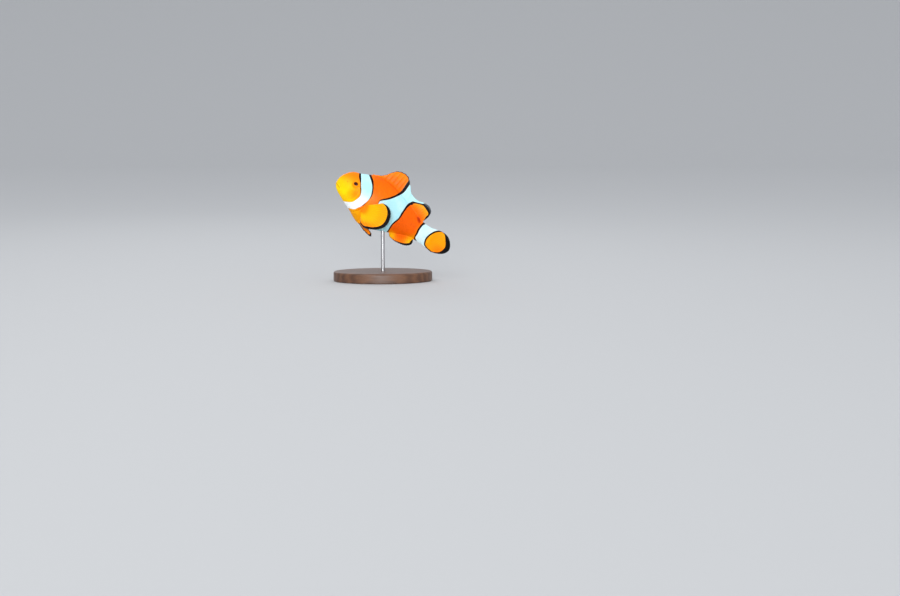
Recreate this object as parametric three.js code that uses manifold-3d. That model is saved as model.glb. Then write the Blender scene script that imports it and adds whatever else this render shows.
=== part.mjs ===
// A clownfish (Amphiprion ocellaris) as a life-size display model on a rod and a flat base.
//
// Units are millimetres. The row frame has +Z up, the fish's nose towards -X and its left flank
// towards -Y. The origin is the middle of the base's underside.
//
// The fish is drawn level, in a frame of its own: x runs from the nose towards the tail, y across
// the body with the left flank at -y, and z up. One group then pitches it nose up over the stand.

import * as THREE from "three";
import { mergeVertices } from "three/addons/utils/BufferGeometryUtils.js";
import Module from "manifold-3d";

const wasm = await Module();
wasm.setup();

// ---------------------------------------------------------------- driving dimensions

const BODY_LENGTH = 66.5; // nose to the end of the scaled body, where the tail fin begins
const NOSE_ROUND = 4.5; // how far back the blunt nose goes on rounding out
const NOSE_HEIGHT = 0.6; // height of the foremost point over the body's axis
const TAIL_ROUND = 2.2; // how far forward the body's hind end is rounded
const TAIL_HEIGHT = -2.0; // height of the hind end's middle
const PART_GAP = 0.3; // the thin cut between two neighbouring pieces
const FIN_GAP = 0.2; // the clearance between a fin's foot and the body

const NOSE_UP = THREE.MathUtils.degToRad(29.4); // how steeply the fish noses up
const TAIL_SWING = 2.6; // how far the tail tip is swung to the fish's right
const SWING_FROM = 30; // where the body starts to bend

const EYE_AT = { x: 11.1, z: 5.0 };
const EYE_RADIUS = 2.75;
const EYE_DEPTH = 1.6; // half the thickness of the lens-shaped eye
const EYE_SUNK = 0.88; // how far the eye's middle lies under the skin

const ROD_RADIUS = 1.2;
const ROD_ENTRY_X = 39; // where the rod goes into the belly
const ROD_INTO_BODY = 5;
const ROD_SHOWING = 24; // from the belly down to the base
const BASE = { length: 60, width: 40, height: 6, bevel: 1.2, hole: 4 };

// The body's side outline, its half width and the level of its greatest width, from nose to tail.
// Ahead of NOSE_ROUND these are the sizes that the rounding of the nose is taken from.
const topLine = smooth([
  [0, 7.4], [3, 8.3], [6, 10.5], [9, 11.5], [13, 12.8], [18, 14.8],
  [25, 15.8], [32, 15.0], [40, 12.4], [48, 9.1], [55, 5.6], [60, 4.2], [66.5, 4.1],
]);
const bottomLine = smooth([
  [0, -4.0], [3, -4.7], [6, -6.3], [10, -8.5], [14, -10.4], [18, -12.9],
  [22, -15.0], [27, -15.5], [33, -14.3], [40, -12.1], [48, -9.6], [56, -7.8], [61, -7.6], [66.5, -8.2],
]);
const halfWidth = smooth([
  [0, 2.7], [3, 3.5], [6, 4.5], [10.6, 5.6], [16, 6.5], [23, 6.9],
  [32, 6.2], [42, 4.6], [50, 3.2], [58, 2.1], [66.5, 1.2],
]);
const widestLevel = smooth([
  [0, 0.6], [6, 0.8], [14, 0.0], [22, -0.8], [32, -0.6], [45, -0.7], [58, -1.6], [66.5, -2.0],
]);

// ---------------------------------------------------------------- curves and solids

// A natural cubic spline through [x, y] stations, as a function of x. It runs on straight past its ends.
function smooth(stations) {
  const n = stations.length;
  const x = stations.map((p) => p[0]);
  const y = stations.map((p) => p[1]);
  const bend = new Array(n).fill(0);
  const share = new Array(n).fill(0);
  for (let i = 1; i < n - 1; i++) {
    const before = x[i] - x[i - 1];
    const after = x[i + 1] - x[i];
    const turn = (y[i + 1] - y[i]) / after - (y[i] - y[i - 1]) / before;
    const pivot = 2 * (before + after) - before * share[i - 1];
    share[i] = after / pivot;
    bend[i] = (6 * turn - before * bend[i - 1]) / pivot;
  }
  for (let i = n - 2; i > 0; i--) bend[i] -= share[i] * bend[i + 1];
  return (at) => {
    let i = 0;
    while (i < n - 2 && at > x[i + 1]) i++;
    const h = x[i + 1] - x[i];
    const t = (at - x[i]) / h;
    const lean = ((y[i + 1] - y[i]) * 6 - h * h * (2 * bend[i] + bend[i + 1])) / (6 * h);
    if (t < 0) return y[i] + lean * (at - x[i]);
    if (t > 1) return y[i + 1] + (lean + (h * (bend[i] + bend[i + 1])) / 2) * (at - x[i + 1]);
    const a = 1 - t;
    return a * y[i] + t * y[i + 1] + ((a ** 3 - a) * bend[i] + (t ** 3 - t) * bend[i + 1]) * ((h * h) / 6);
  };
}

// A smooth path through points that are given as [u, x, z].
function path(points) {
  const x = smooth(points.map((p) => [p[0], p[1]]));
  const z = smooth(points.map((p) => [p[0], p[2]]));
  return (u) => ({ x: x(u), z: z(u) });
}

function geometryOf(vertices, triangles) {
  const geometry = new THREE.BufferGeometry();
  geometry.setAttribute("position", new THREE.Float32BufferAttribute(vertices.flat(), 3));
  geometry.setIndex(triangles.flat());
  return geometry;
}

function solidOf(geometry) {
  const bare = geometry.clone();
  bare.deleteAttribute("normal");
  bare.deleteAttribute("uv");
  const merged = mergeVertices(bare, 1e-4);
  return new wasm.Manifold(
    new wasm.Mesh({
      numProp: 3,
      vertProperties: merged.attributes.position.array,
      triVerts: new Uint32Array(merged.index.array),
    }),
  );
}

function meshOf(name, solid, material) {
  const { vertProperties, triVerts } = solid.getMesh();
  const geometry = new THREE.BufferGeometry();
  geometry.setAttribute("position", new THREE.BufferAttribute(vertProperties, 3));
  geometry.setIndex(new THREE.BufferAttribute(triVerts, 1));
  geometry.computeVertexNormals();
  const mesh = new THREE.Mesh(geometry, material);
  mesh.name = name;
  return mesh;
}

// ---------------------------------------------------------------- the body

// How far the bent body's midline lies to the fish's right at x.
function swing(x) {
  const t = Math.max(0, (x - SWING_FROM) / (80 - SWING_FROM));
  return TAIL_SWING * t * t;
}

// The share of its full size that the body has at x, from 0 at each end to 1.
function fullness(x) {
  const nose = Math.max(0, 1 - x / NOSE_ROUND);
  const tail = Math.max(0, 1 - (BODY_LENGTH - x) / TAIL_ROUND);
  return Math.sqrt(Math.max(0, 1 - nose * nose)) * Math.sqrt(Math.max(0, 1 - tail * tail));
}

// How pointed the back and belly of the section at x are: rounded on the head, keeled towards the tail.
function keel(x) {
  return 1.1 + 0.45 * THREE.MathUtils.smoothstep(x, 28, 48);
}

// The body's section at x: the heights of its back, belly and widest level, and its half width.
function sectionAt(x, grow = 0) {
  const size = fullness(x);
  const middle = x < BODY_LENGTH / 2 ? NOSE_HEIGHT : TAIL_HEIGHT;
  const closing = (height) => middle + (height - middle) * size;
  return {
    back: closing(topLine(x)) + grow,
    belly: closing(bottomLine(x)) - grow,
    middle: closing(widestLevel(x)),
    half: halfWidth(x) * size + grow,
  };
}

// How far out the flank lies from the midline at x and height z.
function flankAt(x, z) {
  const s = sectionAt(x);
  const reach = z > s.middle ? s.back - s.middle : s.middle - s.belly;
  const rise = Math.min(1, Math.abs(z - s.middle) / reach);
  return s.half * Math.pow(1 - rise * rise, keel(x) / 2);
}

// The whole body as one closed solid, made bigger all round by grow.
function bodySolid(grow = 0) {
  const noseRings = 5;
  const midRings = 22;
  const tailRings = 3;
  const sides = 26;
  const stations = [];
  for (let i = 1; i <= noseRings; i++)
    stations.push(NOSE_ROUND * (1 - Math.cos((i / noseRings) * (Math.PI / 2))));
  const midLength = BODY_LENGTH - TAIL_ROUND - NOSE_ROUND;
  for (let i = 1; i <= midRings; i++) stations.push(NOSE_ROUND + (i / midRings) * midLength);
  for (let i = 1; i < tailRings; i++)
    stations.push(BODY_LENGTH - TAIL_ROUND * (1 - Math.sin((i / tailRings) * (Math.PI / 2))));
  const vertices = [[-grow, swing(0), NOSE_HEIGHT]];
  for (const x of stations) {
    const s = sectionAt(x, grow);
    const stretched = x * (1 + (2 * grow) / BODY_LENGTH) - grow;
    for (let j = 0; j < sides; j++) {
      const angle = (j / sides) * 2 * Math.PI;
      const across = Math.cos(angle);
      const up = Math.sin(angle);
      const reach = up > 0 ? s.back - s.middle : s.middle - s.belly;
      const out = s.half * Math.sign(across) * Math.pow(Math.abs(across), keel(x));
      vertices.push([stretched, out + swing(x), s.middle + reach * up]);
    }
  }
  vertices.push([BODY_LENGTH + grow, swing(BODY_LENGTH), TAIL_HEIGHT]);
  const triangles = [];
  const last = vertices.length - 1;
  const at = (ring, side) => 1 + ring * sides + (side % sides);
  for (let j = 0; j < sides; j++) {
    triangles.push([0, at(0, j + 1), at(0, j)]);
    triangles.push([last, at(stations.length - 1, j), at(stations.length - 1, j + 1)]);
    for (let i = 0; i < stations.length - 1; i++) {
      triangles.push([at(i, j), at(i, j + 1), at(i + 1, j)]);
      triangles.push([at(i, j + 1), at(i + 1, j + 1), at(i + 1, j)]);
    }
  }
  return solidOf(geometryOf(vertices, triangles));
}

// A slab with the side outline given by [x, z] corners, from y = near to y = far.
function slab(corners, near = -20, far = 20) {
  const shape = new THREE.Shape(corners.map(([x, z]) => new THREE.Vector2(x, z)));
  const geometry = new THREE.ExtrudeGeometry(shape, { depth: far - near, bevelEnabled: false });
  geometry.rotateX(Math.PI / 2).translate(0, far, 0);
  return solidOf(geometry);
}

// ---------------------------------------------------------------- where the head is parted

// The hind edge of the gill cover, which is also where head and trunk meet: x at height z.
const gillEdge = (z) => 22.2 - 0.035 * (z - 1) ** 2;
// The front edge of the gill cover: x at height z.
const cheekEdge = (z) => 15.2 - 0.055 * (z - 2) ** 2;
const GILL_TOP = 8;
const GILL_BOTTOM = -8.6;
const GILL_THICKNESS = 1.1;
const STALK_FROM = 57.8; // where trunk and tail stalk meet

// Everything ahead of the gill edge, or behind it.
function gillRegion(behind) {
  const corners = [];
  for (let z = -22; z <= 22; z += 2) corners.push([gillEdge(z) + (behind ? PART_GAP : -PART_GAP) / 2, z]);
  const far = behind ? 90 : -5;
  return slab([...corners, [far, 22], [far, -22]]);
}

// The lower jaw's side outline, drawn in by inset: the mouth line in front and the jaw's angle behind.
function jawRegion(inset) {
  return slab([
    [-5, 0.9 - inset], [4.9, -2.1 - inset], [8.6 - inset, -9.4], [8.6 - inset, -20], [-5, -20],
  ]);
}

// One side's gill cover outline, grown by extra, from the midline out. side is -1 for left and 1 for right.
function gillCoverRegion(side, extra) {
  const corners = [];
  const steps = 8;
  const heightAt = (i) => GILL_BOTTOM - extra + (i / steps) * (GILL_TOP - GILL_BOTTOM + 2 * extra);
  for (let i = 0; i <= steps; i++) corners.push([cheekEdge(heightAt(i)) - extra, heightAt(i)]);
  for (let i = steps; i >= 0; i--) corners.push([gillEdge(heightAt(i)) + extra, heightAt(i)]);
  return side < 0 ? slab(corners, -14, -1) : slab(corners, 1, 14);
}

// ---------------------------------------------------------------- fins

// A fin is a ribbed plate between a foot line and a tip line, each a function of u from 0 at its
// leading ray to 1 at its last. Every ray is a low ridge, and the plate thins from foot to rim.
// bow is how far the rays' middles are bent along y, out of the straight line from foot to tip.
function finSolid({ foot, tip, rays, footThickness, rimThickness = 0.5, steps = 2, ribs = 0.14, bow = 0 }) {
  const across = rays * 2;
  const point = (i, k) => {
    const out = k / steps;
    const bent = new THREE.Vector3(0, bow * 4 * out * (1 - out), 0);
    return foot(i / across).clone().lerp(tip(i / across), out).add(bent);
  };
  const sheet = [];
  for (let i = 0; i <= across; i++) {
    for (let k = 0; k <= steps; k++) {
      const along = point(i, Math.min(k + 1, steps)).sub(point(i, Math.max(k - 1, 0)));
      const over = point(Math.min(i + 1, across), k).sub(point(Math.max(i - 1, 0), k));
      const normal = along.cross(over).normalize();
      const out = k / steps;
      const rib = 1 + (i % 2 === 0 ? ribs : -ribs) * out;
      const thickness = THREE.MathUtils.lerp(footThickness, rimThickness / (1 - ribs), Math.sqrt(out)) * rib;
      const middle = point(i, k);
      sheet.push([
        middle.clone().addScaledVector(normal, thickness / 2),
        middle.clone().addScaledVector(normal, -thickness / 2),
      ]);
    }
  }
  const vertices = sheet.flat().map((v) => [v.x, v.y, v.z]);
  const at = (i, k, face) => 2 * (i * (steps + 1) + k) + face;
  const triangles = [];
  const quad = (a, b, c, d) => triangles.push([a, b, c], [a, c, d]);
  for (let i = 0; i < across; i++) {
    for (let k = 0; k < steps; k++) {
      quad(at(i, k, 0), at(i, k + 1, 0), at(i + 1, k + 1, 0), at(i + 1, k, 0));
      quad(at(i, k, 1), at(i + 1, k, 1), at(i + 1, k + 1, 1), at(i, k + 1, 1));
    }
    quad(at(i, 0, 0), at(i + 1, 0, 0), at(i + 1, 0, 1), at(i, 0, 1));
    quad(at(i, steps, 1), at(i + 1, steps, 1), at(i + 1, steps, 0), at(i, steps, 0));
  }
  for (let k = 0; k < steps; k++) {
    quad(at(0, k, 1), at(0, k + 1, 1), at(0, k + 1, 0), at(0, k, 0));
    quad(at(across, k, 0), at(across, k + 1, 0), at(across, k + 1, 1), at(across, k, 1));
  }
  const solid = solidOf(geometryOf(vertices, triangles));
  return solid.volume() < 0
    ? solidOf(geometryOf(vertices, triangles.map(([a, b, c]) => [a, c, b])))
    : solid;
}

// A fin on the midline, whose foot runs along the body at heightAt and whose tips follow a path.
function medianFin({ from, to, heightAt, tips, ...rest }) {
  const tipPath = path(tips);
  const onMidline = (x, z) => new THREE.Vector3(x, swing(x), z);
  return finSolid({
    foot: (u) => onMidline(from + (to - from) * u, heightAt(from + (to - from) * u)),
    tip: (u) => onMidline(tipPath(u).x, tipPath(u).z),
    ...rest,
  });
}

const FOOT_SUNK = 1.0; // how far a fin's foot line starts inside the body

// The eleven-spined front of the back fin.
const dorsalFront = () =>
  medianFin({
    from: 16.6,
    to: 41.5,
    heightAt: (x) => topLine(x) - FOOT_SUNK,
    tips: [
      [0, 17.3, 15.0], [0.1, 20.6, 16.2], [0.2, 23.6, 18.0], [0.35, 27.6, 22.6],
      [0.55, 33, 24.9], [0.72, 37, 23.8], [0.86, 39.9, 20.3], [1, 42.4, 16.2],
    ],
    rays: 10,
    footThickness: 1.5,
  });

// The soft-rayed hind lobe of the back fin.
const dorsalRear = () =>
  medianFin({
    from: 42.1,
    to: 57,
    heightAt: (x) => topLine(x) - FOOT_SUNK,
    tips: [
      [0, 43.1, 15.8], [0.22, 47.4, 14.5], [0.45, 51.5, 14.8], [0.65, 55.2, 15.0],
      [0.8, 57.8, 13.7], [0.92, 59.1, 11.2], [1, 58.9, 8.4],
    ],
    rays: 13,
    footThickness: 1.3,
  });

const analFin = () =>
  medianFin({
    from: 42,
    to: 57,
    heightAt: (x) => bottomLine(x) + FOOT_SUNK,
    tips: [
      [0, 43.8, -13.1], [0.25, 47.4, -14.0], [0.5, 51.4, -14.0], [0.7, 54.7, -13.4],
      [0.85, 57.0, -12.1], [0.95, 58.1, -10.4], [1, 58.0, -9.2],
    ],
    rays: 12,
    footThickness: 1.3,
  });

function caudalFin() {
  const tips = path([
    [0, 70.2, 5.0], [0.12, 73.5, 4.7], [0.3, 77.3, 2.6], [0.5, 79.8, -1.3],
    [0.6, 80, -3.1], [0.72, 78.9, -5.4], [0.88, 75.2, -8.0], [1, 70.6, -9.2],
  ]);
  return finSolid({
    foot: (u) => new THREE.Vector3(64.8, swing(64.8), 3.6 - 11.2 * u),
    tip: (u) => new THREE.Vector3(tips(u).x, swing(tips(u).x), tips(u).z),
    rays: 14,
    footThickness: 2.0,
  });
}

// The fan behind the gill opening, swung out from the flank.
function pectoralFin(side) {
  const tips = path([
    [0, 30.6, 3.0], [0.12, 33.8, 3.0], [0.3, 37.6, 0.3], [0.5, 39.1, -5.0],
    [0.66, 38.1, -9.3], [0.8, 34.3, -12.9], [0.9, 30.3, -14.8], [0.96, 27.2, -15.3], [1, 24.7, -14.2],
  ]);
  // How far the tips lie from the midline.
  const reach = smooth([[0, 10.6], [0.3, 12.6], [0.6, 12.4], [1, 9.2]]);
  const root = (u) => ({ x: 22.7 - 0.5 * u, z: -2.9 - 6.6 * u });
  return finSolid({
    foot: (u) => new THREE.Vector3(root(u).x, side * (flankAt(root(u).x, root(u).z) - 0.6), root(u).z),
    tip: (u) => new THREE.Vector3(tips(u).x, side * reach(u), tips(u).z),
    rays: 16,
    footThickness: 1.8,
    bow: 0.8 * side,
  });
}

// A belly fin: one spine in front and five soft rays.
function pelvicFin(side) {
  const tips = path([
    [0, 28.3, -17.0], [0.25, 32.2, -18.2], [0.45, 34.1, -18.4], [0.7, 33.7, -17.1], [1, 30.8, -15.7],
  ]);
  return finSolid({
    foot: (u) => new THREE.Vector3(22.2 + 3.6 * u, side * (2.5 - 1.1 * u), -13.9 - 0.3 * u),
    tip: (u) => new THREE.Vector3(tips(u).x, side * (5.6 - 3.4 * u), tips(u).z),
    rays: 6,
    footThickness: 1.5,
  });
}

// ---------------------------------------------------------------- eyes and stand

// A lens-shaped eye, grown by extra for the socket that it sits in.
function eyeSolid(side, extra = 0) {
  const geometry = new THREE.SphereGeometry(1, 20, 10);
  geometry.rotateX(Math.PI / 2);
  geometry.scale(EYE_RADIUS + extra, EYE_DEPTH + extra, EYE_RADIUS + extra);
  geometry.translate(EYE_AT.x, side * (flankAt(EYE_AT.x, EYE_AT.z) - EYE_SUNK), EYE_AT.z);
  return solidOf(geometry);
}

const rodEntry = new THREE.Vector3(ROD_ENTRY_X, swing(ROD_ENTRY_X), bottomLine(ROD_ENTRY_X));

// The group that carries the fish: nose up, with the rod's entry over the middle of the base.
function fishGroup() {
  const group = new THREE.Group();
  group.rotation.y = NOSE_UP;
  const entry = rodEntry.clone().applyEuler(group.rotation);
  group.position.set(-entry.x, -entry.y, BASE.height + ROD_SHOWING - entry.z);
  group.updateMatrixWorld(true);
  return group;
}

function upright(radius, from, to) {
  const geometry = new THREE.CylinderGeometry(radius, radius, to - from, 24);
  return geometry.rotateX(Math.PI / 2).translate(0, 0, (from + to) / 2);
}

function baseSolid() {
  const outline = new THREE.Shape();
  outline.absellipse(0, 0, BASE.length / 2 - BASE.bevel, BASE.width / 2 - BASE.bevel, 0, 2 * Math.PI);
  const geometry = new THREE.ExtrudeGeometry(outline, {
    depth: BASE.height - 2 * BASE.bevel,
    bevelThickness: BASE.bevel,
    bevelSize: BASE.bevel,
    bevelSegments: 2,
    curveSegments: 28,
  });
  geometry.translate(0, 0, BASE.bevel);
  const hole = upright(ROD_RADIUS + PART_GAP, BASE.height - BASE.hole, BASE.height + 5);
  return solidOf(geometry).subtract(solidOf(hole));
}

// ---------------------------------------------------------------- materials and assembly

const skin = new THREE.MeshStandardMaterial({ color: 0xf97a08, roughness: 0.42, metalness: 0 });
const paleSkin = new THREE.MeshStandardMaterial({ color: 0xe8f8f8, roughness: 0.42, metalness: 0 });
const finSkin = new THREE.MeshStandardMaterial({ color: 0xfca010, roughness: 0.4, metalness: 0 });
const eyeMaterial = new THREE.MeshStandardMaterial({ color: 0x1a0d08, roughness: 0.08, metalness: 0 });
const wood = new THREE.MeshStandardMaterial({ color: 0x4a2e1c, roughness: 0.45, metalness: 0 });
const steel = new THREE.MeshStandardMaterial({ color: 0xb8bac0, roughness: 0.3, metalness: 1 });

const SIDES = [["left", -1], ["right", 1]];
const fish = fishGroup();
const toFish = fish.matrixWorld.clone().invert();

const rodTop = BASE.height + ROD_SHOWING + ROD_INTO_BODY;
const rodBottom = BASE.height - BASE.hole + PART_GAP;
const rodSocket = solidOf(upright(ROD_RADIUS + PART_GAP, 0, rodTop + PART_GAP).applyMatrix4(toFish));

const body = bodySolid();
const bodyForFins = bodySolid(FIN_GAP);
const bodyCore = bodySolid(-GILL_THICKNESS);
const bodyUnderGill = bodySolid(-GILL_THICKNESS - PART_GAP);

// The head, less its lower jaw, its gill covers and its eye sockets.
let head = body.intersect(gillRegion(false)).subtract(jawRegion(0));
for (const [, side] of SIDES) {
  const recess = gillCoverRegion(side, PART_GAP).subtract(bodyUnderGill);
  head = head.subtract(recess).subtract(eyeSolid(side, PART_GAP));
}
fish.add(meshOf("head", head, skin));
fish.add(meshOf("lower_jaw", body.intersect(jawRegion(PART_GAP)), skin));
for (const [name, side] of SIDES) {
  const cover = body.subtract(bodyCore).intersect(gillCoverRegion(side, 0)).intersect(gillRegion(false));
  fish.add(meshOf("gill_cover_" + name, cover, paleSkin));
  fish.add(meshOf("eye_" + name, eyeSolid(side), eyeMaterial));
}

const stalkCut = (from, to) => slab([[from, -22], [to, -22], [to, 22], [from, 22]]);
const trunk = body.intersect(gillRegion(true)).intersect(stalkCut(0, STALK_FROM - PART_GAP / 2));
fish.add(meshOf("trunk", trunk.subtract(rodSocket), skin));
fish.add(meshOf("tail_stalk", body.intersect(stalkCut(STALK_FROM + PART_GAP / 2, 90)), paleSkin));

const medianFins = [
  ["dorsal_fin_front", dorsalFront()],
  ["dorsal_fin_rear", dorsalRear()],
  ["anal_fin", analFin()],
  ["caudal_fin", caudalFin()],
];
for (const [name, solid] of medianFins) fish.add(meshOf(name, solid.subtract(bodyForFins), finSkin));
for (const [name, side] of SIDES) {
  fish.add(meshOf("pectoral_fin_" + name, pectoralFin(side).subtract(bodyForFins), finSkin));
  fish.add(meshOf("pelvic_fin_" + name, pelvicFin(side).subtract(bodyForFins), finSkin));
}

const model = new THREE.Group();
model.add(fish);
model.add(meshOf("stand_base", baseSolid(), wood));
model.add(meshOf("stand_rod", solidOf(upright(ROD_RADIUS, rodBottom, rodTop)), steel));

export default model;
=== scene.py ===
import math

import bpy
import numpy as np
from mathutils import Matrix, Vector


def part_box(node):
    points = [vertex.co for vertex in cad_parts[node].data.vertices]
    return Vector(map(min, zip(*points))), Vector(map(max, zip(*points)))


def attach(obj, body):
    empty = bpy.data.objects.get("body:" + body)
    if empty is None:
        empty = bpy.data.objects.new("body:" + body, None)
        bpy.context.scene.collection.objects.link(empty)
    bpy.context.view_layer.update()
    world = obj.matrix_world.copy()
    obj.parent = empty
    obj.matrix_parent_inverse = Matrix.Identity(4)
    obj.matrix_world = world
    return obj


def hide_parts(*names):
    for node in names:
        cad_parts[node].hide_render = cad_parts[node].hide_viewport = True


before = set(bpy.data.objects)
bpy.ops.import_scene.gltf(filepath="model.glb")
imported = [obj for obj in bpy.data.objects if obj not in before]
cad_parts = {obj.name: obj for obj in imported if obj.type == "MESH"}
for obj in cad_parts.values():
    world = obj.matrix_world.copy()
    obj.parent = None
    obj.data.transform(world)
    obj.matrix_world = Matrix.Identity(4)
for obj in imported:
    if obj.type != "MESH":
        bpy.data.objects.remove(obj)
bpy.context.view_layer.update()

# ---------------------------------------------------------------------------- the stand's base
# An oval plinth of dark walnut with its edges rounded over, oiled to a satin sheen. It stands flat on
# the table, and a blind hole in the middle of its top takes the rod.

MM = 0.001
base_low, base_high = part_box("stand_base")
rod_low, rod_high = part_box("stand_rod")
base_half_length = (base_high.x - base_low.x) / 2
base_half_width = (base_high.y - base_low.y) / 2
base_top = base_high.z
base_edge_radius = 1.2 * MM
base_foot_radius = 0.5 * MM
rod_radius = (rod_high.x - rod_low.x) / 2
hole_radius = rod_radius + 0.05 * MM
SHARP_EDGE = math.radians(35)  # faces that meet at more than this show an edge


def make_piece(name, points, triangles, material):
    """A smooth-shaded mesh piece of points in metres, with its faces turned outwards."""
    a, b, c = (points[triangles[:, corner]] for corner in range(3))
    if np.einsum("ij,ij->i", a, np.cross(b, c)).sum() < 0:
        triangles = triangles[:, ::-1]
    mesh = bpy.data.meshes.new(name)
    mesh.vertices.add(len(points))
    mesh.vertices.foreach_set("co", points.astype(np.float32).ravel())
    mesh.loops.add(triangles.size)
    mesh.loops.foreach_set("vertex_index", triangles.astype(np.int32).ravel())
    mesh.polygons.add(len(triangles))
    mesh.polygons.foreach_set("loop_start", np.arange(0, triangles.size, 3, dtype=np.int32))
    mesh.update(calc_edges=True)
    mesh.shade_smooth()
    mesh.materials.append(material)
    piece = bpy.data.objects.new(name, mesh)
    bpy.context.scene.collection.objects.link(piece)
    return piece


def loft(rings):
    """A closed body through rings of points, capped at both ends: its points and its triangles."""
    count, sides = rings.shape[:2]
    points = np.concatenate([rings.reshape(-1, 3), rings[:1].mean(1), rings[-1:].mean(1)])
    ring, side = np.meshgrid(np.arange(count - 1), np.arange(sides), indexing="ij")
    here = (ring * sides + side).ravel()
    beside = (ring * sides + (side + 1) % sides).ravel()
    walls = [np.stack([here, beside, here + sides], 1), np.stack([beside, beside + sides, here + sides], 1)]
    rim, beyond = np.arange(sides), (np.arange(sides) + 1) % sides
    front = np.stack([np.full(sides, count * sides), beyond, rim], 1)
    end = (count - 1) * sides
    rear = np.stack([np.full(sides, count * sides + 1), end + rim, end + beyond], 1)
    return points, np.concatenate([*walls, front, rear])


def rounded(radius, steps, inward, upward):
    """A quarter round as (inset, height) offsets, from its foot to its top."""
    turn = np.linspace(0, math.pi / 2, steps)
    return np.stack([inward * radius * (1 - np.cos(turn)), upward * radius * np.sin(turn)], 1)


def knit(tree, kind, sockets=(), **options):
    """Adds a shader node, sets its options and fills its sockets with values or with other nodes' outputs."""
    made = tree.nodes.new("ShaderNode" + kind)
    for option, value in options.items():
        setattr(made, option, value)
    for socket, value in dict(sockets).items():
        if isinstance(value, bpy.types.NodeSocket):
            tree.links.new(value, made.inputs[socket])
        else:
            made.inputs[socket].default_value = value
    return made


def ramp(tree, factor, stops, interpolation="LINEAR"):
    """A colour ramp through (position, linear colour) stops."""
    made = knit(tree, "ValToRGB", {"Fac": factor})
    band = made.color_ramp
    band.interpolation = interpolation
    band.elements.remove(band.elements[1])
    band.elements[0].position = stops[0][0]
    band.elements[0].color = (*stops[0][1], 1)
    for position, colour in stops[1:]:
        band.elements.new(position).color = (*colour, 1)
    return made.outputs["Color"]


def paint(red, green, blue):
    """A screen colour, 0 to 255 each, as the linear colour that a shader takes."""
    shares = (red / 255, green / 255, blue / 255)
    return tuple(((share + 0.055) / 1.055) ** 2.4 if share > 0.04 else share / 12.92 for share in shares)


def noise(tree, place, scale, detail, roughness=0.5):
    """Cloudy noise over the surface, from 0 to 1."""
    sockets = {"Vector": place, "Scale": scale, "Detail": detail, "Roughness": roughness}
    return knit(tree, "TexNoise", sockets).outputs["Fac"]


def between(tree, value, low, high):
    """A value that runs from 0 to 1 as one that runs from low to high."""
    return knit(tree, "MapRange", {"Value": value, "To Min": low, "To Max": high}).outputs["Result"]


def relief(tree, height, strength, distance):
    """Fine relief in the surface, in metres."""
    sockets = {"Height": height, "Strength": strength, "Distance": distance}
    return knit(tree, "Bump", sockets).outputs["Normal"]


def new_material(name):
    """An empty material and its tree, with the place on the object in metres."""
    material = bpy.data.materials.new(name)
    material.use_nodes = True
    material.node_tree.nodes.clear()
    return material, material.node_tree, knit(material.node_tree, "TexCoord").outputs["Object"]


def give_finish(tree, sockets):
    """Covers the surface with one shader of those sockets."""
    shader = knit(tree, "BsdfPrincipled", sockets)
    knit(tree, "OutputMaterial", {"Surface": shader.outputs["BSDF"]})


def oiled_walnut():
    material, tree, place = new_material("oiled_walnut")
    board = knit(tree, "Mapping", {"Vector": place, "Scale": (14, 120, 160), "Rotation": (0, 0.05, 0.09)})
    board = board.outputs["Vector"]
    drift = noise(tree, board, 1.3, 3)
    waves = {"Vector": board, "Scale": 0.8, "Distortion": 7.5, "Detail": 4, "Detail Scale": 1.3}
    rings = knit(tree, "TexWave", waves, wave_type="BANDS", bands_direction="Y").outputs["Fac"]
    fibre = knit(tree, "Mapping", {"Vector": place, "Scale": (90, 2600, 2600)}).outputs["Vector"]
    pores = noise(tree, fibre, 1.0, 4, 0.65)
    figure = knit(tree, "Mix", {"Factor": 0.62, "A": rings, "B": drift}).outputs["Result"]
    tone = knit(tree, "Mix", {"Factor": 0.45, "A": figure, "B": pores}).outputs["Result"]
    browns = [(0.25, paint(58, 35, 22)), (0.45, paint(84, 53, 34))]
    browns += [(0.6, paint(101, 66, 43)), (0.8, paint(122, 83, 55))]
    sockets = {"Base Color": ramp(tree, tone, browns), "Roughness": between(tree, pores, 0.52, 0.34)}
    sockets["Normal"] = relief(tree, pores, 0.35, 0.00006)
    give_finish(tree, {**sockets, "Coat Weight": 0.18, "Coat Roughness": 0.3})
    return material


def base_profile():
    """The oval's rings as (inset from its edge, height), from the foot's rounding to the shoulder's top."""
    foot = rounded(base_foot_radius, 6, -1, 1)[::-1]
    shoulder = rounded(base_edge_radius, 12, 1, 1)
    wall_foot = np.stack([base_foot_radius + foot[:, 0][::-1], base_foot_radius - foot[:, 1]], 1)
    wall_top = shoulder + [0, base_top - base_edge_radius]
    return np.concatenate([wall_foot, wall_top])


def turns(sides, start=0.0):
    """The angles of so many even steps once round."""
    return np.linspace(start, start + 2 * math.pi, sides, endpoint=False)


def circle(radius, height, sides):
    """A level ring of points round the rod's axis."""
    turn = turns(sides)
    return np.stack([radius * np.cos(turn), radius * np.sin(turn), np.full(sides, height)], 1)


base_sides = 180


def oval(inset, height):
    return circle(1, height, base_sides) * [base_half_length - inset, base_half_width - inset, 1]


profile = base_profile()
rim_ring, hole_ring = oval(*profile[-1]), circle(hole_radius, base_top, base_sides)
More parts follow.
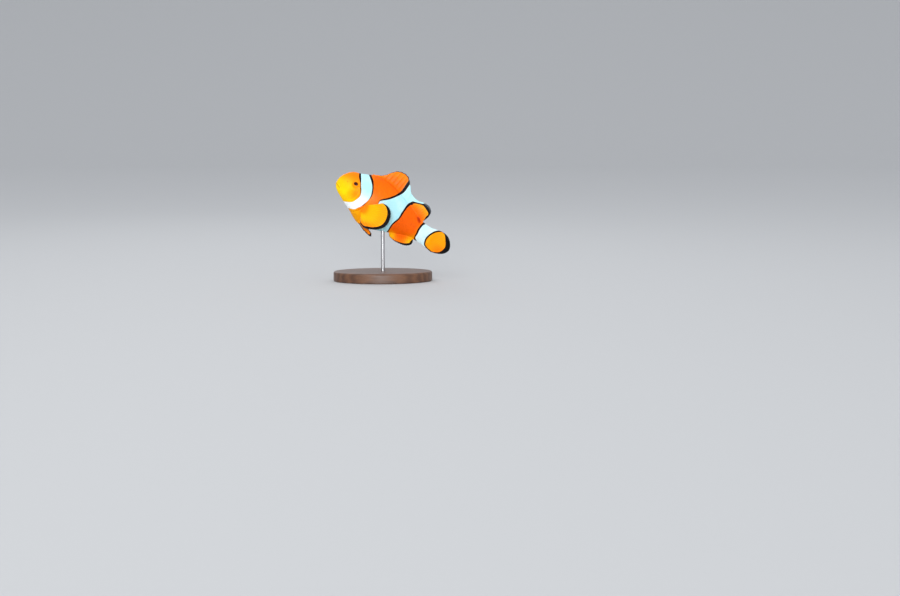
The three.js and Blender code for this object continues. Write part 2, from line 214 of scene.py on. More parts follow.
# Rings within the flat underside and top keep their faces short.
rings = [oval(profile[0][0], 0) * [share, share, 1] for share in (0.35, 0.7)]
rings += [oval(inset, height) for inset, height in profile]
rings += [rim_ring * [1 - share, 1 - share, 1] + hole_ring * [share, share, 0] for share in (0.3, 0.6, 0.85)]
rings += [hole_ring, circle(hole_radius, rod_low.z - 0.1 * MM, base_sides)]
base = make_piece("walnut_base", *loft(np.array(rings)), oiled_walnut())
base.data.set_sharp_from_angle(angle=SHARP_EDGE)
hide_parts("stand_base")
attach(base, "root")

# ---------------------------------------------------------------------------- the rod
# A straight rod of stainless steel, brushed along its length. Its foot is glued into the base, and its
# upper end goes into a socket in the belly.

rod_chamfer = 0.15 * MM
rod_sides = 48
rod_heights = np.linspace(base_top, rod_high.z - rod_chamfer, 12)


def brushed_steel():
    material, tree, place = new_material("brushed_steel")
    strokes = knit(tree, "Mapping", {"Vector": place, "Scale": (9000, 9000, 160)}).outputs["Vector"]
    brushing = noise(tree, strokes, 1.0, 3, 0.6)
    greys = ramp(tree, brushing, [(0.3, (0.42, 0.42, 0.43)), (0.7, (0.63, 0.63, 0.64))])
    sockets = {"Base Color": greys, "Roughness": between(tree, brushing, 0.22, 0.42), "Metallic": 1.0}
    give_finish(tree, {**sockets, "Normal": relief(tree, brushing, 0.25, 0.00001)})
    return material


rod_profile = [(rod_radius - rod_chamfer, rod_low.z), (rod_radius, rod_low.z + rod_chamfer)]
rod_profile += [(rod_radius, height) for height in rod_heights]
rod_profile += [(rod_radius - rod_chamfer, rod_high.z)]
rod_rings = np.array([circle(radius, height, rod_sides) for radius, height in rod_profile])
rod = make_piece("steel_rod", *loft(rod_rings), brushed_steel())
rod.data.set_sharp_from_angle(angle=SHARP_EDGE)
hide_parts("stand_rod")
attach(rod, "root")

# ---------------------------------------------------------------------------- the body's skin
# Head, trunk and tail stalk are one skin, lofted through sections from the nose to the tail's root. The
# fish is drawn level in its own millimetres, x tailwards, y to its right and z up, and then posed.

FISH_LENGTH = 80  # from the nose to the tip of the tail fin
BODY_LENGTH = 66.5
NOSE_ROUND = 4.5
NOSE_HEIGHT = 0.6
TAIL_ROUND = 2.2
TAIL_HEIGHT = -2.0
NOSE_UP = math.radians(29.4)
nose_up_turn = np.array(Matrix.Rotation(NOSE_UP, 3, "Y"))
TAIL_SWING = 2.6
SWING_FROM = 30
ROD_ENTRY = 39
ROD_IN_BELLY = 5
COAT_DEPTH = 0.12  # how far the skin lies under the scales' outside
FAR = 50.0  # a length, in mm, that stands for nowhere near


def smooth(*stations):
    """A natural cubic spline through (x, y) stations, which runs on straight past its ends."""
    x, y = np.array(stations, float).T
    gap = np.diff(x)
    slope = np.diff(y) / gap
    system = np.eye(len(x))
    for i in range(1, len(x) - 1):
        system[i, i - 1 : i + 2] = gap[i - 1], 2 * (gap[i - 1] + gap[i]), gap[i]
    bend = np.linalg.solve(system, np.concatenate([[0], 6 * np.diff(slope), [0]]))

    def at(value):
        value = np.asarray(value, float)
        i = np.clip(np.searchsorted(x, value) - 1, 0, len(x) - 2)
        inside = np.clip(value, x[0], x[-1])
        t = (inside - x[i]) / gap[i]
        a = 1 - t
        sag = ((a**3 - a) * bend[i] + (t**3 - t) * bend[i + 1]) * gap[i] ** 2 / 6
        lean = slope[i] + ((3 * t**2 - 1) * bend[i + 1] - (3 * a**2 - 1) * bend[i]) * gap[i] / 6
        return a * y[i] + t * y[i + 1] + sag + lean * (value - inside)

    return at


def step(low, high, value):
    """From 0 at low to 1 at high, smoothly. low may be the larger."""
    t = np.clip((value - low) / (high - low), 0, 1)
    return t * t * (3 - 2 * t)


def bump(value, middle, width):
    """1 where the value is at the middle, falling off softly on both sides of it."""
    return np.exp(-(((value - middle) / width) ** 2))


back_line = smooth(
    (0, 7.4), (3, 8.3), (6, 10.5), (9, 11.5), (13, 12.8), (18, 14.8), (25, 15.8), (32, 15.0), (40, 12.4),
    (48, 9.1), (55, 5.6), (60, 4.2), (66.5, 4.1),
)
belly_line = smooth(
    (0, -4.0), (3, -4.7), (6, -6.3), (10, -8.5), (14, -10.4), (18, -12.9), (22, -15.0), (27, -15.5),
    (33, -14.3), (40, -12.1), (48, -9.6), (56, -7.8), (61, -7.6), (66.5, -8.2),
)
half_width = smooth(
    (0, 2.7), (3, 3.5), (6, 4.5), (10.6, 5.6), (16, 6.5), (23, 6.9), (32, 6.2), (42, 4.6), (50, 3.2),
    (58, 2.1), (66.5, 1.2),
)
widest_level = smooth(
    (0, 0.6), (6, 0.8), (14, 0.0), (22, -0.8), (32, -0.6), (45, -0.7), (58, -1.6), (66.5, -2.0),
)


def keel(x):
    """How pointed the section's back and belly are: rounded on the head, keeled towards the tail."""
    return 1.1 + 0.45 * step(28, 48, x)


def swing(x):
    """How far the bent body's midline lies to the fish's right."""
    return TAIL_SWING * np.maximum(0, (x - SWING_FROM) / (FISH_LENGTH - SWING_FROM)) ** 2


def posed(points):
    """Points of the level fish, in its millimetres, as metres in the pose over the stand."""
    entry = np.array([ROD_ENTRY, swing(ROD_ENTRY), belly_line(ROD_ENTRY)])
    return ((points - entry) @ nose_up_turn.T + [0, 0, rod_high.z / MM - ROD_IN_BELLY]) * MM


def together(*parts):
    """Coordinates of one point or of many as points."""
    return np.stack(np.broadcast_arrays(*parts), -1)


def outside(x, angle):
    """Points on the fish's outside. The angle is 0 on the left flank and a quarter turn up the back."""
    nose = np.maximum(0, 1 - x / NOSE_ROUND)
    tail = np.maximum(0, 1 - (BODY_LENGTH - x) / TAIL_ROUND)
    fullness = np.sqrt(np.maximum(0, (1 - nose**2) * (1 - tail**2)))
    middle = np.where(x < BODY_LENGTH / 2, NOSE_HEIGHT, TAIL_HEIGHT)
    lines = (back_line, belly_line, widest_level)
    back, belly, level = (middle + (line(x) - middle) * fullness for line in lines)
    across, up = np.cos(angle), np.sin(angle)
    out = half_width(x) * fullness * np.sign(across) * np.abs(across) ** keel(x)
    rise = np.where(up > 0, back - level, level - belly) * up
    return together(x, swing(x) - out, level + rise)


EYE_X, EYE_Z = 11.1, 5.0
EYE_RADIUS, EYE_DEPTH, EYE_SUNK = 2.75, 1.6, 0.88
eye_opening = 2.3
NOSTRIL_X, NOSTRIL_Z = 6.0, 3.9

mouth_height, mouth_slope, mouth_corner, jaws_end = -0.3, -0.37, 3.7, 9
mouth_droop = 0.22  # how far the corners sag below the mouth's straight line

gill_edge = smooth(
    (-13, 14.2), (-11, 16.8), (-8, 19.6), (-4, 21.3), (1, 22.2), (5, 21.6), (8, 20.4), (11, 19),
)
cheek_middle = (8.4, 1.4)
cheek_reach = smooth((-130, 5.4), (-105, 6.2), (-75, 6.9), (-45, 7.1), (-15, 6.5), (15, 6.3), (40, 6.4))


def off_mouth(x, z):
    """How far a point lies from the mouth's slit, which runs from the nose tip to the drooping corners."""
    run = np.minimum(x, mouth_corner)
    line = mouth_height + mouth_slope * run - mouth_droop * (run / mouth_corner) ** 3
    off_line = (z - line) / math.hypot(1, mouth_slope)
    return np.where(x < jaws_end, np.hypot(off_line, np.maximum(0, x - mouth_corner)), FAR)


def off_nostril(x, z):
    return np.hypot(x - NOSTRIL_X, z - NOSTRIL_Z)


def past_gill_edge(x, z):
    """How far a point lies behind the gill cover's slightly frilled edge."""
    frill = 0.1 * np.abs((z / 0.55) % 1 - 0.5) * step(3.5, 1, np.abs(z - 1))
    return x - gill_edge(z) - frill


def gill_opening(z):
    """1 at the heights where the gill cover's edge stands free, and 0 above and below them."""
    return step(9.2, 5.5, z) * step(-12, -9.5, z)


def past_cheek_plate(x, z):
    """A point's bearing from the cheek plate's middle in degrees, and how far it lies past the plate."""
    bearing = np.degrees(np.arctan2(z - cheek_middle[1], x - cheek_middle[0]))
    return bearing, np.hypot(x - cheek_middle[0], z - cheek_middle[1]) - cheek_reach(bearing)


def carved(point):
    """How far the skin is sunk below its plain form by the mouth, nostrils, eye sockets and gill covers."""
    x, z = point[..., 0], point[..., 2]
    # The mouth is a slit between two full lips, which thin out towards its corners, before a soft fold.
    mouth = off_mouth(x, z)
    full = step(mouth_corner + 0.6, 1.2, x)
    lip = 0.3 + 0.2 * full
    depth = (0.22 + 0.28 * full) * bump(mouth, 0, 0.13)
    depth = depth - (0.03 + 0.11 * full) * np.maximum(0, 1 - ((mouth - lip) / lip) ** 2)
    depth = depth + 0.11 * bump(mouth, 2.3 * lip, 0.16 + 0.12 * full)
    # One nostril on each side, a small pit with a raised rim.
    nostril = off_nostril(x, z)
    depth = depth + 0.42 * bump(nostril, 0, 0.2) - 0.07 * bump(nostril, 0.42, 0.14)
    # The socket dips under the eye, inside a low ring of skin and a shallow moat.
    from_eye = np.hypot(x - EYE_X, z - EYE_Z)
    depth = depth + 1.5 * step(eye_opening + 0.12, eye_opening - 0.45, from_eye)
    depth = depth - 0.06 * bump(from_eye, 2.62, 0.22) + 0.06 * bump(from_eye, 3.3, 0.4)
    # The cheek plate's toothed hind edge stands over the gill cover.
    bearing, past_cheek = past_cheek_plate(x, z)
    past_cheek = past_cheek - 0.12 * np.abs((bearing / 4.5) % 1 - 0.5)
    seen = step(-128, -100, bearing) * step(42, 24, bearing) * (x < 24)
    depth = depth + seen * 0.15 * step(-0.05, 0.1, past_cheek) * np.exp(-np.maximum(0, past_cheek) / 1.6)
    # The gill opening is a narrow dark slit behind the gill cover's thin edge.
    past_gill = past_gill_edge(x, z)
    depth = depth - 0.05 * gill_opening(z) * step(-1.4, -0.2, past_gill) * (past_gill < 0.02)
    closing = np.exp(-np.maximum(0, past_gill - 0.1) / 0.16)
    return depth + 0.55 * gill_opening(z) * step(-0.02, 0.1, past_gill) * closing


def crease_shade_at(point):
    """How much painted shade darkens a point of the skin in a crease, from 0 on open skin to 1 in mouth and
    nostrils.
    """
    x, z = point[..., 0], point[..., 2]
    gill = gill_opening(z) * bump(past_gill_edge(x, z), 0.14, 0.13)
    mouth, nostril = bump(off_mouth(x, z), 0, 0.17), bump(off_nostril(x, z), 0, 0.2)
    return np.max([0.75 * gill, mouth, nostril], axis=0)


def skin_at(x, angle, lift=0.0):
    """Points on the skin, raised by lift, in the fish's millimetres."""
    x, angle = np.broadcast_arrays(np.asarray(x, float), angle)
    # The skin's slope is that between points close by, and closer still towards nose and tail.
    reach, turn = np.minimum(0.02, 0.05 * np.minimum(x, BODY_LENGTH - x)), 0.002
    along = outside(x + reach, angle) - outside(x - reach, angle)
    around = outside(x, angle + turn) - outside(x, angle - turn)
    out = np.cross(along, around)
    out /= np.linalg.norm(out, axis=-1, keepdims=True)
    point = outside(x, angle)
    return point - out * (COAT_DEPTH + carved(point) - lift)[..., None]


# Rings stand close together on the head, where the fine forms are, and wider apart on the trunk.
HEAD_END, HEAD_RINGS_APART, TRUNK_RINGS_APART = 24, 0.12, 0.28
nose_rings = NOSE_ROUND * (1 - np.cos(np.linspace(0.012, 1, 70) * math.pi / 2))
head_rings = np.arange(NOSE_ROUND + HEAD_RINGS_APART, HEAD_END, HEAD_RINGS_APART)
trunk_rings = np.arange(HEAD_END, BODY_LENGTH - TAIL_ROUND, TRUNK_RINGS_APART)
tail_rings = BODY_LENGTH - TAIL_ROUND * (1 - np.sin(np.linspace(0, 0.985, 14) * math.pi / 2))
ring_x = np.concatenate([nose_rings, head_rings, trunk_rings, tail_rings])
skin_sides = 384
ring_angle = turns(skin_sides, -math.pi / 2)
skin_rings = skin_at(ring_x[:, None], ring_angle[None, :])
skin_points, skin_triangles = loft(skin_rings)

# The unwrap lays the body out flat: nose to tail across, and belly, left flank, back, right flank up.
flank_run = np.linalg.norm(np.diff(skin_rings[:, 0], axis=0), axis=1) + np.linalg.norm(
    np.diff(skin_rings[:, skin_sides // 2], axis=0), axis=1
)
run_share = np.concatenate([[0], np.cumsum(flank_run)]) / flank_run.sum()


def inset(share, edge=0.01):
    """A share of a stretch that keeps a free edge at both ends."""
    return edge + (1 - 2 * edge) * share


def unwrapped(x, angle):
    """Where a point of the body lies on its unwrap, each way from 0 to 1."""
    along, round_body = np.interp(x, ring_x, run_share), angle / (2 * math.pi) + 0.25
    return together(inset(along), inset(round_body))


# ---------------------------------------------------------------------------- the fins
# Thin webs on rays that stand in the body's flesh, each a ridge on both sides and thickest at its root.
# Soft rays fork towards the rim. The webs' roots flare out, so that fin and body flow together.

FOOT_SUNK = 1.0


def path(*stations):
    """A smooth line through (share, x, z) stations, as a function of the share."""
    x, z = smooth(*(s[:2] for s in stations)), smooth(*((s[0], s[2]) for s in stations))
    return lambda share: (x(share), z(share))


def on_midline(x, z):
    return together(x, swing(x), z)


def fin_grid(
    foot, tip, rays, sunk, root, rim, spiny=False, bow=0.0, scallop=0.1, fan=0.0,
    fillet=(0.35, 0.9), wave=(0.3, 2.2), fine=12, rows=56,
):
    """A fin's middle sheet, its half thickness, and each point's ray, share out and lengths, as grids.

    foot and tip turn a share from the first ray to the last into points. root and rim are half thicknesses.
    fillet is the root's flare as (height, reach), and wave the web's ripple as (height, waves along the rim).
    fan says how much the root thins out from its middle towards the outer rays.
    """
    share = np.linspace(0, 1, (rays - 1) * fine + 1)[:, None]
    # The rows crowd towards the rim, so that it is rounded.
    rim_rows, rim_from = 14, 0.9
    last_rows = rim_from + (1 - rim_from) * np.sin(np.linspace(0, math.pi / 2, rim_rows + 1)[1:])
    out = np.concatenate([np.linspace(0, rim_from, rows - rim_rows), last_rows])[None, :]
    ray = share * (rays - 1)
    off_ray = np.abs(ray - np.round(ray))
    feet, tips = foot(share[:, 0])[:, None], tip(share[:, 0])[:, None]
    length = np.linalg.norm(tips - feet, axis=-1)
    drawn_in = np.minimum(scallop / length, 0.12) * (2 * off_ray) ** 1.5
    reach = out * (1 - drawn_in)
    middle = feet + (tips - feet) * reach[..., None]
    middle = middle + np.asarray(bow) * (4 * reach * (1 - reach))[..., None]
    middle[..., 1] += wave[0] * reach**1.6 * np.sin(2 * math.pi * wave[1] * share + 0.9)
    # Half thickness: a thin web, the rays on it, and the flare of flesh at the root.
    fleshy = (4 * share * (1 - share)) ** fan
    web = rim + (root - rim) * (1 - out) ** 1.8 * fleshy
    if spiny:
        ridge = bump(off_ray, 0, 0.1 + 0.05 * (1 - out)) * (0.19 - 0.12 * out)
    else:
        fork = 0.16 * step(0.35, 0.75, out)
        ridge = bump(off_ray, fork, 0.09) * (0.16 - 0.06 * out)
    clear = np.maximum(0, reach * length - sunk)
    flare = fillet[0] * np.exp(-clear / fillet[1]) * fleshy
    half = web * (0.8 + 0.2 * out) + ridge * step(0, 0.12, out) + flare
    along_rim = np.linalg.norm(np.diff(middle, axis=0), axis=-1)
    from_first = np.concatenate([np.zeros_like(along_rim[:1]), np.cumsum(along_rim, 0)])
    from_last = from_first[-1:] - from_first
    to_tip = (1 - out) * length
    for edge, roundness in ((to_tip, 0.22), (from_first, 0.3), (from_last, 0.3)):
        half = half * np.sqrt(1 - (1 - np.minimum(1, edge / roundness)) ** 2)
    half[:, 0] = 0
    return middle, half, ray + 0 * out, out + 0 * ray, to_tip, from_first, from_last


def fin_web(middle, half):
    """Both faces of a fin as one closed sheet: points, triangles, and the grid place of each corner."""
    along = np.gradient(middle, axis=1)
    across = np.gradient(middle, axis=0)
    face = np.cross(across, along)
    face /= np.linalg.norm(face, axis=-1, keepdims=True) + 1e-12
    count, rows = half.shape
    left = middle - face * half[..., None]
    right = middle + face * half[..., None]
    near = np.arange(count * rows).reshape(count, rows)
    far = near.copy()
    far[1:-1, 1:-1] = count * rows + np.arange((count - 2) * (rows - 2)).reshape(count - 2, rows - 2)
    points = np.concatenate([left.reshape(-1, 3), right[1:-1, 1:-1].reshape(-1, 3)])
    grid = np.arange(count * rows).reshape(count, rows)
    faces, places = [], []
    for index, turned in ((near, False), (far, True)):
        for source, target in ((index, faces), (grid, places)):
            a, b, c, d = source[:-1, :-1], source[1:, :-1], source[1:, 1:], source[:-1, 1:]
            halves = [(a, b, c), (a, c, d)]
            triangles = np.concatenate([np.stack([p.ravel() for p in t], 1) for t in halves])
            target.append(triangles[:, ::-1] if turned else triangles)
    return points, np.concatenate(faces), np.concatenate(places)


dorsal_front_tips = path(
    (0, 17.3, 15.0), (0.1, 20.6, 16.2), (0.2, 23.6, 18.0), (0.35, 27.6, 22.6), (0.55, 33, 24.86),
    (0.72, 37, 23.8), (0.86, 39.9, 20.3), (1, 43.3, 15.7),
)
dorsal_rear_tips = path(
    (0, 42.5, 16.3), (0.22, 47.4, 14.5), (0.45, 51.5, 14.8), (0.65, 55.2, 15.0), (0.8, 57.8, 13.7),
    (0.92, 59.1, 11.2), (1, 58.9, 8.4),
)
anal_tips = path(
    (0, 43.8, -13.1), (0.25, 47.4, -14.0), (0.5, 51.4, -14.0), (0.7, 54.7, -13.4), (0.85, 57.0, -12.1),
    (0.95, 58.1, -10.4), (1, 58.0, -9.2),
)
caudal_tips = path(
    (0, 70.2, 5.0), (0.12, 73.5, 4.7), (0.3, 77.3, 2.6), (0.5, 79.8, -1.3), (0.6, 80, -3.1),
    (0.72, 78.9, -5.4), (0.88, 75.2, -8.0), (1, 70.6, -9.2),
)
pectoral_tips = path(
    (0, 30.6, 3.0), (0.12, 33.8, 3.0), (0.3, 37.6, 0.3), (0.5, 39.1, -5.0), (0.66, 38.1, -9.3),
    (0.8, 34.3, -12.9), (0.9, 30.3, -14.8), (0.96, 27.2, -15.3), (1, 24.7, -14.2),
)
pectoral_reach = smooth((0, 10.6), (0.3, 12.6), (0.6, 12.4), (1, 9.2))
pelvic_tips = path(
    (0, 28.3, -17.0), (0.25, 32.2, -18.2), (0.45, 34.1, -18.4), (0.7, 33.7, -17.1), (1, 30.8, -15.7),
)


def median_fin(start, end, line, into, tips, **rest):
    """A fin on the midline, whose foot runs along the back or the belly."""
    return fin_grid(
        lambda share: on_midline(start + (end - start) * share, line(start + (end - start) * share) + into),
        lambda share: on_midline(*tips(share)),
        sunk=FOOT_SUNK,
        **rest,
    )


def flank_reach(x, z):
    """How far the flank lies from the midline at x and height z."""
    level = widest_level(x)
    room = np.where(z > level, back_line(x) - level, level - belly_line(x))
    return half_width(x) * (1 - (np.abs(z - level) / room) ** 2) ** (keel(x) / 2)


def pectoral_fin(side):
    def foot(share):
        x, z = 22.7 - 0.5 * share, -2.9 - 6.6 * share
        return together(x, side * (flank_reach(x, z) - 0.6), z)

    def tip(share):
        x, z = pectoral_tips(share)
        return together(x, side * pectoral_reach(share), z)

    return fin_grid(
        foot, tip, rays=17, sunk=0.6, root=0.6, rim=0.12, bow=(0, 0.8 * side, 0),
        fan=0.4, fillet=(0.6, 0.8), rows=70,
    )


def pelvic_fin(side):
    def foot(share):
        return together(22.2 + 3.6 * share, side * (2.5 - 1.1 * share), -13.9 - 0.3 * share)

    def tip(share):
        x, z = pelvic_tips(share)
        return together(x, side * (5.6 - 3.4 * share), z)

    return fin_grid(
        foot, tip, rays=7, sunk=0.8, root=0.45, rim=0.12, scallop=0.35, fillet=(0.4, 0.8), wave=(0.15, 1.0)
    )


pectoral_margin = smooth((0, 0.2), (0.1, 1.2), (0.3, 2.2), (0.5, 2.4), (0.75, 2.2), (1, 1.7))
pelvic_margin = smooth((0, 1.5), (0.3, 1.7), (0.6, 1.3), (1, 0.7))

# Each fin's sheet, with its black margin's width along the tips, the first ray and the last ray.
fins = {
    "dorsal_front": (
        median_fin(
            16.6, 42.4, back_line, -FOOT_SUNK, dorsal_front_tips,
            rays=11, root=0.4, rim=0.12, spiny=True, scallop=0.32, wave=(0.22, 1.6), fine=20,
        ),
        smooth((0, -0.5), (0.08, 0.1), (0.3, 0.45), (0.75, 0.65), (0.9, 0.5), (0.95, 0.0), (1, -1)), -1, -1,
    ),
    "dorsal_rear": (
        median_fin(41.4, 57, back_line, -FOOT_SUNK, dorsal_rear_tips, rays=15, root=0.36, rim=0.11),
        smooth(
            (0, -1), (0.4, -0.8), (0.5, 1.0), (0.56, 1.9), (0.66, 2.5), (0.76, 2.6), (0.86, 2.2),
            (0.94, 1.9), (1, 1.9),
        ), -1, 2.4,
    ),
    "anal": (
        median_fin(42, 57, belly_line, FOOT_SUNK, anal_tips, rays=14, root=0.34, rim=0.11),
        smooth((0, 0.3), (0.25, 0.45), (0.6, 1.1), (0.85, 1.55), (1, 1.7)), 0.35, 2.2,
    ),
    "caudal": (
        fin_grid(
            lambda share: on_midline(64.8 - 2.2 * (2 * share - 1) ** 4, 3.6 - 11.2 * share),
            lambda share: on_midline(*caudal_tips(share)),
            rays=16, sunk=1.7, root=0.62, rim=0.12, fan=0.5, fillet=(0.72, 1.5), rows=64,
        ),
        smooth((0, 0.5), (0.12, 1.2), (0.28, 2.7), (0.5, 3.2), (0.7, 2.9), (0.88, 1.6), (1, 1.2)), 0.8, 1.4,
    ),
    "pectoral_left": (pectoral_fin(-1), pectoral_margin, 0.12, 1.1),
    "pectoral_right": (pectoral_fin(1), pectoral_margin, 0.12, 1.1),
    "pelvic_left": (pelvic_fin(-1), pelvic_margin, 0.8, 0.3),
    "pelvic_right": (pelvic_fin(1), pelvic_margin, 0.8, 0.3),
}

# ---------------------------------------------------------------------------- the markings
# Yellow face, orange body, and three white bands edged in black: one behind the eye, one round the
# middle that juts forward, and one on the tail stalk. Skin and scales read the same marks.

# The bands' edges are x at each height z. Under the soft dorsal fin's crest the middle band's border is z
# at each x.
band_one_front = smooth(
    (-12, 7.0), (-9.5, 8.2), (-7.8, 9.8), (-6.9, 11.9), (-5.6, 14.1), (-3.3, 15.6), (-1.1, 16.5),
    (1.1, 16.6), (3.3, 15.7), (6.1, 14.0), (9.2, 12.3), (11.1, 11.1), (14, 9.6),
)
band_one_rear = smooth(
    (-13, 10.0), (-10.5, 13.2), (-9.7, 15), (-8.9, 17.0), (-7.2, 18.6), (-5.6, 19.8), (-2.8, 21.1),
    (0, 22.1), (2.8, 22.4), (6.1, 21.5), (8.9, 20.0), (11.7, 17.4), (13.9, 14.8), (17, 12.2),
)
band_two_front = smooth(
    (-18, 35.3), (-12, 34.5), (-9, 33.5), (-6, 32), (-3, 30.6), (0, 29.1), (2.2, 28.4), (3.6, 29.0),
    (5.3, 31.2), (8.3, 34.4), (11.7, 37.1), (14, 38.5), (17, 39.2), (21, 39.5), (26, 39.8),
)
band_two_rear = smooth(
    (-15, 41.8), (-12.6, 41.3), (-10.5, 41.3), (-8, 41.3), (-5, 41.6), (-2.5, 42.5), (-0.5, 43.2),
    (1.5, 43.3), (4, 43.4), (7, 43.7), (10, 44.3), (12, 45.6), (16, 47.6),
)
band_two_crest = smooth(
    (42, 12.0), (45.3, 12.4), (48, 13.0), (50.5, 13.6), (52, 14.2), (53, 14.9), (55, 17), (60, 22),
)
band_three_front = smooth(
    (-11, 66), (-8.5, 63), (-7.6, 60.3), (-6.9, 58.9), (-4, 58.1), (-1, 57.9), (1, 58.1), (3.3, 58.8),
    (4.6, 60.2), (6, 63), (9, 67),
)
band_three_rear = smooth(
    (-10, 69.3), (-8.4, 66.7), (-7.6, 65.3), (-6, 64.2), (-4, 63.7), (-1.5, 64.0), (1, 65.0), (3, 66.4),
    (4.4, 68.1), (6, 71),
)
# The black lines' widths at each height, or at each x under the crest. The lines are broad over the upper
# flank, and the foremost two fade out towards the belly.
line_one_front = smooth(
    (-12, 0.06), (-4, 0.06), (-1.5, 0.1), (1, 0.32), (3, 0.6), (4.5, 0.56), (6, 0.4), (7.5, 0.72),
    (9, 1.25), (11, 1.15), (14, 1.1),
)
line_one_rear = smooth(
    (-13, 0.1), (-6, 0.1), (-3, 0.35), (-0.5, 0.1), (2, 0.35), (5, 0.75), (9, 0.85), (11, 1.15),
    (14, 1.3),
)
line_two_front = smooth(
    (-16, 0.6), (-4, 0.6), (1, 0.35), (3, 0.45), (5.5, 0.95), (8, 1.15), (12, 1.3), (14, 1.65), (18, 2.0),
    (22, 2.0),
)
line_two_rear = smooth(
    (-14, 0.5), (-8, 0.8), (0, 0.92), (4, 1.08), (7, 1.12), (9.5, 1.6), (11.5, 2.1), (14, 2.1),
)
line_two_crest = smooth((44, 2.1), (46, 1.9), (47.5, 1.05), (49, 0.8), (51.5, 0.8), (53, 1.2), (55, 1.6))
line_three_front = smooth((-8, 0.7), (-6, 0.72), (-4, 0.95), (-1, 1.1), (5, 1.15))
line_three_rear = smooth((-9, 0.7), (-6, 0.85), (-2, 1.0), (1, 1.1), (5, 0.95))

# Warmth runs from 0, lemon, to 1, a deep red. The face is lemon over the cheek and orange over the crown.
YELLOW, AMBER, ORANGE = 0.2, 0.37, 0.66
face_warmth = smooth(
    (-8, 0.07), (-5, 0.05), (-2.5, 0.0), (0, 0.07), (2.5, 0.15), (4, 0.28), (6, 0.47), (8, 0.6),
    (12, 0.64),
)
SHADE_SPOT_X, SHADE_SPOT_Z = 54.8, 4.5
SOFT_DORSAL_FROM = 42


def past(edge, x, z):
    """How far x lies beyond an edge that gives an x at each z, square to the edge."""
    nearby = 0.05
    lean = (edge(z + nearby) - edge(z - nearby)) / (2 * nearby)
    return (x - edge(z)) / np.hypot(1, lean)


def bands_at(x, z):
    """How far a point lies behind each white band's front edge and ahead of its rear edge, and how wide
    the black lines along these edges are."""
    ahead = -past(band_two_rear, x, z)
    over_crest = np.where(x > SOFT_DORSAL_FROM, past(band_two_crest, z, x), -FAR)
    rear_line = np.where(over_crest > ahead, line_two_crest(x), line_two_rear(z))
    return (
        (past(band_one_front, x, z), -past(band_one_rear, x, z), line_one_front(z), line_one_rear(z)),
        (past(band_two_front, x, z), np.maximum(ahead, over_crest), line_two_front(z), rear_line),
        (past(band_three_front, x, z), -past(band_three_rear, x, z), line_three_front(z), line_three_rear(z)),
    )


def warmth_at(x, z, out, paired):
    """How far the skin goes from lemon to red. out is the share out along a fin."""
    face = np.clip(face_warmth(z), 0, ORANGE)
    face = face + (0.6 - face) * 0.72 * step(8, 13.5, x) * step(-5.5, -1, z)
    # Up the flank the trunk's paint grows deeper and darker: partly the back's own darker colour, partly
    # painted shade.
    trunk = ORANGE + 0.008 * z
    breast = step(-7, -9.5, z) * step(8, 13, x) * step(36, 26, x)
    rear = 0.84 - 0.007 * np.maximum(z, 0) - 0.12 * step(-3.4, -1.2, past(band_three_front, x, z))
    tail = 0.42 + 0.2 * step(-1.5, -6, z) * step(68, 74, x)
    warmth = face + (trunk - face) * step(15, 20, x)
    warmth = warmth + (AMBER - warmth) * breast
    warmth = warmth + (rear - warmth) * step(38, 44, x)
    warmth = warmth + (tail - warmth) * step(61, 64, x)
    hind_tint = np.where(z > 0, 0.3, ORANGE)
    median_tint = np.where(x > 60, tail, np.where(x < SOFT_DORSAL_FROM, 0.6, hind_tint))
    paired_tint = YELLOW + 0.16 * step(0.35, 0.7, out) + 0.2 * step(-9, -14, z)
    fin_tint, reach = np.where(paired > 0, paired_tint, median_tint), np.where(paired > 0, 0.28, 1.0)
    warmth = warmth + (fin_tint - warmth) * step(0.05, reach, out)
    # Both ends of the anal fin and the body over them are yellow.
    corners = bump(x, 44.6, 2.6) * bump(z, -11.8, 2.4) + bump(x, 56.5, 3.2) * bump(z, -10, 3.5)
    warmth = warmth + (YELLOW - warmth) * np.minimum(1, corners)
    # A small spot of painted shade, a deeper red, lies aslant below the soft dorsal fin where its rear root
    # meets the body.
    behind, above = x - SHADE_SPOT_X, z - SHADE_SPOT_Z
    return warmth + 0.3 * np.exp(-((behind + above) ** 2 / 2.2 + (behind - above) ** 2 / 9.0))


def marks(points, out, margin, paired):
    """White and black as depths into each mark, and the tints, at points in the fish's millimetres.

    paired is 1 on the pectoral and pelvic fins, which have no bands, and 0 elsewhere.
    """
    x, z = points[..., 0], points[..., 2]
    bands = bands_at(x, z)
    white = np.max([np.minimum(behind, ahead) for behind, ahead, *_ in bands], axis=0) - FAR * paired
    black = np.minimum(margin, -white)
    for behind, ahead, front_line, rear_line in bands:
        for depth, other, wide in ((behind, ahead, front_line), (ahead, behind, rear_line)):
            line = wide / 2 - np.abs(depth + wide / 2) - FAR * paired
            black = np.maximum(black, np.where(other > -wide, line, -FAR))
    # The white is faintly blue over back and middle, and cleaner low on the head and on the tail stalk.
    cool = np.maximum(step(-6, 7, z), step(26, 34, x)) - 0.4 * step(52, 58, x)
    return {"white": white, "black": black, "warmth": warmth_at(x, z, out, paired), "cool": cool}


def mark_piece(mesh, marks_by_name):
    """Writes a piece's marks on its mesh, by point or by face corner, as attributes for the materials."""
    for name, values in marks_by_name.items():
        domain = "POINT" if len(values) == len(mesh.vertices) else "CORNER"
        made = mesh.attributes.get(name) or mesh.attributes.new(name, "FLOAT", domain)
        made.data.foreach_set("value", np.ascontiguousarray(values, dtype=np.float32))


def unwrap_piece(mesh, places):
    """Lays a piece out flat at its face corners' places, in the one UV map."""
    layer = mesh.uv_layers.new(name="OFBake")
    layer.data.foreach_set("uv", places.astype(np.float32).ravel())


def mark_node(tree, name):
    """A mark of the mesh, read in a material."""
    return knit(tree, "Attribute", attribute_name=name).outputs["Fac"]


